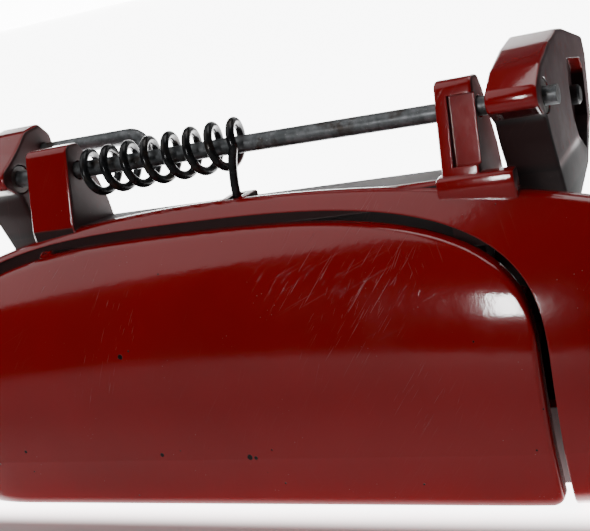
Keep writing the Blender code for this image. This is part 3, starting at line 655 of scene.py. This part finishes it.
def red_paint(name, arm):
    """Deep red gloss top coat: fine orange peel, hairline scratches, chips, dust, dark overspray where the gun didn't
    reach, and painted shade under the arms' noses, on undersides, in the recess and on the land behind the rim.
    """
    g = Graph(name)
    peel = g.noise(620.0, 2.0, 0.5)
    fine = g.noise(2600.0, 2.0, 0.5)
    tone = g.noise(38.0, 3.0, 0.5)
    deep = g.mix(g.ramp(tone, 0.3, 0.7), (0.36, 0.0016, 0.0024, 1), (0.41, 0.0025, 0.004, 1))
    # hairlines
    lines = g.most(
        streaks(g, 52.0, 5200.0, 120.0, 0.66, 0.7, 34.0, 0.5, 0.6, 0.0),
        streaks(g, 66.0, 4600.0, 150.0, 0.66, 0.7, 42.0, 0.52, 0.6, 5.3),
        streaks(g, 112.0, 6000.0, 160.0, 0.68, 0.72, 36.0, 0.53, 0.62, 9.1),
        g.times(0.5, streaks(g, 22.0, 7400.0, 60.0, 0.68, 0.72, 26.0, 0.5, 0.62, 13.7)),
    )
    # dust specks
    speck = g.times(g.ramp(g.cells(900.0), 0.05, 0.1, 1.0, 0.0), g.ramp(g.noise(120.0, 2.0), 0.56, 0.64))
    outer = g.ramp(g.ny, -0.1, -0.5)
    handled = g.most(g.near((-36.0, -17.0, -30.0), 17.0, 0.5, 60.0), g.near((26.0, -17.0, -27.0), 16.0, 0.5, 60.0), g.near((38.0, -21.0, -46.0), 7.0, 0.5, 90.0), 0.16)
    lines = g.times(lines, outer, handled)
    # where the red coat thins out: side faces of the towers and arms, and everything behind the face; their undersides
    # get painted shade
    grit = g.noise(420.0, 5.0, 0.7)
    cloud = g.noise(140.0, 3.0, 0.6)
    upright = g.ramp(g.z, 0.0545, 0.0575)
    side = g.times(upright, g.ramp(g.math("ADD", g.nx, g.math("MULTIPLY", g.math("SUBTRACT", cloud, 0.5), 0.5)), 0.55, 0.8))
    rear = g.ramp(g.math("ADD", g.ny, g.math("MULTIPLY", g.math("SUBTRACT", cloud, 0.5), 0.7)), 0.35, 0.75)
    within = g.times(g.ramp(g.y, 0.0012, 0.0035), g.ramp(g.z, 0.0575, 0.0545))
    # painted shade: undersides of the towers and arms, taken nearly black further down
    below = g.times(upright, g.ramp(g.nz, -0.35, -0.75))
    thin = g.most(side, rear, within)
    veil = g.mix(g.ramp(g.noise(90.0, 4.0, 0.6), 0.4, 0.62), (0.05, 0.032, 0.034, 1), (0.10, 0.078, 0.082, 1))
    veil = g.mix(g.ramp(grit, 0.55, 0.7), veil, (0.13, 0.02, 0.022, 1))
    dark = (0.012, 0.008, 0.008, 1)
    if arm:
        # painted shade under the noses of the arms, and on the feet behind the skin
        chin = g.times(g.ramp(g.y, 0.0008, 0.0022), g.ramp(g.z, 0.0545, 0.0555), g.ramp(g.z, 0.0672, 0.0662), g.ramp(g.math("ADD", g.ny, g.math("MULTIPLY", g.math("SUBTRACT", cloud, 0.5), 0.3)), -0.15, -0.35))
        foot = g.times(g.ramp(g.y, -0.0052, -0.0042), g.ramp(g.z, 0.0505, 0.0495))
        painted_shade = g.most(chin, foot)
    else:
        # painted shade on the floor of the recess behind the flap's edge
        painted_shade = g.times(g.ramp(g.y, -0.00285, -0.0027), g.ramp(g.ny, -0.9, -0.96), g.ramp(g.z, 0.0588, 0.0582))
        # painted shade on the left-facing walls at the recess's right end
        painted_shade = g.most(painted_shade, g.times(g.ramp(g.nx, -0.5, -0.7), g.ramp(g.x, 0.052, 0.056), g.ramp(g.x, 0.0645, 0.0635)))
        # painted shade on the land behind the rim, taken nearly black
        painted_shade = g.most(painted_shade, g.times(g.ramp(g.y, 0.0002, 0.0008), g.ramp(g.nz, 0.8, 0.9), g.ramp(g.z, 0.0602, 0.0592)))
    veil = g.mix(g.ramp(g.x, 0.0, 0.02), (0.012, 0.007, 0.007, 1), veil) if arm else g.mix(0.72, veil, (0.012, 0.008, 0.008, 1))
    colour = g.mix(g.times(thin, 0.93), deep, veil)
    # painted shade on the undersides; everything behind the face is also taken nearly black
    colour = g.mix(g.math("MULTIPLY", g.most(below, g.times(within, 0.85)), 0.9), colour, dark)
    # painted shade: the masked places taken nearly black
    colour = g.mix(g.math("MULTIPLY", painted_shade, 0.95), colour, dark)
    colour = g.mix(g.math("MULTIPLY", lines, 0.3), colour, (0.6, 0.2, 0.2, 1))
    colour = g.mix(g.times(speck, 0.35), colour, (0.45, 0.32, 0.3, 1))
    if not arm:
        chips = [((-72.0, -15.0, -66.0), 0.5)]
    else:
        chips = [((-25.0, -20.6, -35.3), 0.55), ((-20.7, -22.0, -56.8), 0.42), ((-0.4, -22.0, -57.6), 0.60), ((0.9, -22.0, -57.8), 0.40), ((-55.7, -22.0, -55.5), 0.35)]
    chip = g.most(*[g.near(c, r) for c, r in chips])
    small = g.times(g.ramp(g.cells(210.0), 0.035, 0.05, 1.0, 0.0), outer, g.ramp(g.noise(70.0, 1.0), 0.5, 0.56))
    chip = g.most(chip, small)
    colour = g.mix(chip, colour, (0.018, 0.01, 0.01, 1))
    colour = colour
    rough = g.ramp(g.noise(55.0, 4.0, 0.6), 0.3, 0.75, 0.1, 0.2)
    rough = g.math("ADD", rough, g.math("MULTIPLY", g.most(thin, painted_shade), 0.5))
    rough = g.math("ADD", rough, g.math("MULTIPLY", g.math("MAXIMUM", lines, speck), 0.25), 0.0, True)
    low = g.bump(g.math("ADD", peel, g.math("MULTIPLY", fine, 0.25)), 0.00003, 0.5, g.rounded(0.45))
    cut = g.bump(g.math("SUBTRACT", 1.0, g.math("ADD", g.times(lines, 0.5), chip, 0.0, True)), 0.00006, 0.7, low)
    g.set(Base_Color=colour, Roughness=rough, Normal=cut, IOR=1.48)
    coat = g.times(g.math("SUBTRACT", 1.0, g.most(thin, painted_shade), 0.0, True), g.math("SUBTRACT", 1.0, chip, 0.0, True))
    g.set(Coat_Weight=coat, Coat_Roughness=0.06, Coat_IOR=1.5, Coat_Normal=low)
    return g.mat


def worn(name, base, other, rough, metal, scale=300.0, bump=0.00004, tint=None, spots=None):
    """A plain finish with mottling, fine grain and grime."""
    g = Graph(name)
    m = g.ramp(g.noise(scale, 5.0, 0.65), 0.35, 0.65)
    colour = g.mix(m, base, other)
    if tint is not None:
        colour = g.mix(g.times(g.ramp(g.noise(scale * 0.45, 4.0, 0.6, g.mapped((1, 1, 1), (0, 0, 0), (2.0, 5.0, 1.0))), 0.52, 0.66), 0.75), colour, tint)
    if spots is not None:
        colour = g.mix(g.times(g.ramp(g.cells(scale * 2.2), 0.08, 0.16, 1.0, 0.0), 0.7), colour, spots)
    grain = g.math("ADD", g.noise(scale * 4.0, 4.0, 0.7), g.math("MULTIPLY", g.noise(scale * 0.8, 3.0), 0.6))
    g.set(Base_Color=colour, Metallic=metal, Roughness=g.ramp(g.noise(scale * 1.7, 4.0, 0.6), 0.3, 0.7, rough * 0.8, min(1.0, rough * 1.25)),
          Normal=g.bump(grain, bump, 0.6, g.rounded(0.2)))
    return g.mat


red = red_paint("red_paint_base", False)
red_arm = red_paint("red_paint_flap", True)
steel = worn("phosphated_steel", (0.15, 0.16, 0.165, 1), (0.29, 0.3, 0.31, 1), 0.42, 0.85, 420.0, 0.00005, (0.07, 0.045, 0.03, 1), (0.4, 0.4, 0.4, 1))
wire = worn("spring_wire", (0.012, 0.012, 0.013, 1), (0.03, 0.03, 0.032, 1), 0.2, 0.35, 500.0, 0.00002, (0.05, 0.035, 0.025, 1))
zinc = worn("zinc_plate", (0.5, 0.47, 0.36, 1), (0.62, 0.6, 0.52, 1), 0.33, 0.95, 260.0, 0.00003, (0.3, 0.27, 0.2, 1))
rubber = worn("black_rubber", (0.012, 0.012, 0.012, 1), (0.03, 0.03, 0.03, 1), 0.7, 0.0, 500.0, 0.00005, (0.09, 0.085, 0.08, 1))
foam = worn("gasket_rubber", (0.016, 0.016, 0.017, 1), (0.035, 0.035, 0.036, 1), 0.85, 0.0, 900.0, 0.00012, (0.1, 0.09, 0.08, 1))
nylon = worn("white_nylon", (0.05, 0.045, 0.04, 1), (0.11, 0.1, 0.085, 1), 0.42, 0.0, 200.0, 0.00003, (0.2, 0.18, 0.15, 1))
casting = worn("bright_casting", (0.42, 0.42, 0.42, 1), (0.6, 0.6, 0.6, 1), 0.34, 0.95, 500.0, 0.00006, (0.25, 0.23, 0.2, 1))
cap = worn("stainless_cap", (0.62, 0.62, 0.62, 1), (0.72, 0.72, 0.71, 1), 0.2, 1.0, 300.0, 0.00002, (0.4, 0.38, 0.35, 1))
dark_nylon = worn("black_nylon", (0.016, 0.016, 0.018, 1), (0.03, 0.03, 0.032, 1), 0.42, 0.0, 200.0, 0.00003, (0.05, 0.048, 0.045, 1))

SLOT_MATERIAL = {"red_paint": red, "phosphated_steel": steel, "spring_wire": wire, "zinc_plate": zinc, "black_rubber": rubber,
                 "gasket_rubber": foam, "white_nylon": nylon, "bright_casting": casting, "stainless_cap": cap, "black_nylon": dark_nylon}

for piece, material, slot_name in ((base, red, "red_paint"), (flap, red_arm, "red_paint"), (pin, steel, "phosphated_steel"), (spring, wire, "spring_wire")):
    piece.data.materials.clear()
    piece.data.materials.append(material)

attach(base, "base")
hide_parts("handle_base")
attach(flap, "flap")
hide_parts("pull_flap")
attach(pin, "flap")
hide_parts("hinge_pin")
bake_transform(spring)
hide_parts("return_spring")

NODE_SLOT = {
    "pin_bush_left": "white_nylon", "pin_bush_right": "white_nylon",
    "flap_buffer_left": "black_rubber", "flap_buffer_right": "black_rubber",
    "gasket_left": "gasket_rubber", "gasket_right": "gasket_rubber",
    "stud_left": "zinc_plate", "stud_right": "zinc_plate",
    "washer_left": "zinc_plate", "washer_right": "zinc_plate",
    "nut_left": "zinc_plate", "nut_right": "zinc_plate",
    "lock_barrel": "bright_casting", "lock_plug": "bright_casting",
    "lock_shutter": "stainless_cap", "lock_lever": "zinc_plate",
    "lever_clip": "phosphated_steel", "lock_fork_clip": "phosphated_steel",
    "rod_clip": "black_nylon", "lock_rod_clip": "black_nylon",
}
for name, slot_name in NODE_SLOT.items():
    node = frame["nodes"][name]
    node.data.materials.clear()
    node.data.materials.append(SLOT_MATERIAL[slot_name])
    for face in node.data.polygons:
        face.material_index = 0

# ---- camera -----------------------------------------------------------------------------------
camera_data = bpy.data.cameras.new("camera")
camera_data.lens = 67.119
camera_data.sensor_width = 36.0
camera_data.clip_start = 0.01
camera = bpy.data.objects.new("camera", camera_data)
bpy.context.scene.collection.objects.link(camera)
RIGHT, DOWN, FORWARD = Vector((0.892412, 0.389672, -0.227499)), Vector((-0.089844, -0.340637, -0.935892)), Vector((-0.442186, 0.855641, -0.268979))
turn = Matrix((RIGHT, -DOWN, -FORWARD)).transposed()
camera.matrix_world = Matrix.Translation(((0.106369, -0.185502, 0.102892))) @ turn.to_4x4()
bpy.context.scene.camera = camera

# ---- floor, backdrop and lights ---------------------------------------------------------------
FLOOR_Z = -0.0032


def sheet_mesh(name, corners):
    mesh = bpy.data.meshes.new(name)
    mesh.from_pydata(corners, [], [(0, 1, 2, 3)])
    obj = bpy.data.objects.new(name, mesh)
    bpy.context.scene.collection.objects.link(obj)
    return obj


floor = sheet_mesh("floor", [(-14, -3, FLOOR_Z), (6, -3, FLOOR_Z), (6, 10, FLOOR_Z), (-14, 10, FLOOR_Z)])
# painted light and shade on the floor: it glows behind and left of the handle, and its colour is darker in front,
# which sets what the paint reflects
g = Graph("glowing_floor")
front = g.ramp(g.y, -0.0195, -0.0105)
beside = g.ramp(g.math("ADD", g.x, g.math("MULTIPLY", g.y, 0.208)), 0.17, 0.11)
glow = g.times(front, beside, g.ramp(g.y, 0.0, 0.3, 0.8, 1.0))
g.set(Base_Color=g.mix(g.ramp(g.y, -0.09, -0.016), (0.42, 0.42, 0.42, 1), (0.86, 0.86, 0.86, 1)), Roughness=0.75,
      Emission_Color=(1, 1, 1, 1), Emission_Strength=g.math("MULTIPLY", glow, 8.5))
floor.data.materials.append(g.mat)
wall = sheet_mesh("backdrop", [(-15, 9.9, FLOOR_Z - 0.01), (7, 9.9, FLOOR_Z - 0.01), (7, 10.4, 6), (-15, 10.4, 6)])
# painted light: the backdrop glows, strongly over its lower part left of x = -1.5 m
g = Graph("glowing_backdrop")
g.set(Base_Color=(0.8, 0.8, 0.8, 1), Roughness=0.8, Emission_Color=(1, 1, 1, 1), Emission_Strength=g.math("ADD", 0.2, g.times(g.ramp(g.z, 0.95, 0.7), g.ramp(g.x, -1.5, -3.0), 8.5)))
wall.data.materials.append(g.mat)

scene_world = bpy.data.worlds.new("room")
scene_world.use_nodes = True
scene_world.node_tree.nodes["Background"].inputs[0].default_value = (0.9, 0.95, 1.0, 1)
scene_world.node_tree.nodes["Background"].inputs[1].default_value = 0.04
bpy.context.scene.world = scene_world


def softbox(name, place, aim, width, height, power, colour=(1, 1, 1), spread=math.pi, shape="RECTANGLE"):
    data = bpy.data.lights.new(name, "AREA")
    data.shape = shape
    data.size, data.size_y = width, height
    data.energy = power
    data.color = colour
    data.spread = spread
    light = bpy.data.objects.new(name, data)
    bpy.context.scene.collection.objects.link(light)
    light.location = place
    light.rotation_euler = (Vector(aim) - Vector(place)).to_track_quat("-Z", "Y").to_euler()
    return light


softbox("near_lamp", (-0.04, -0.57, 0.245), (0.0545, -0.0138, 0.038), 0.05, 0.11, 0.8)
softbox("left_window", (-0.554, -0.148, 0.85), (0.0, 0.0, 0.03), 1.15, 1.15, 2.2, (1, 1, 1), math.pi, "DISK")
softbox("overhead", (0.2, 0.35, 1.0), (0.0, 0.0, 0.03), 0.7, 0.5, 2.0)
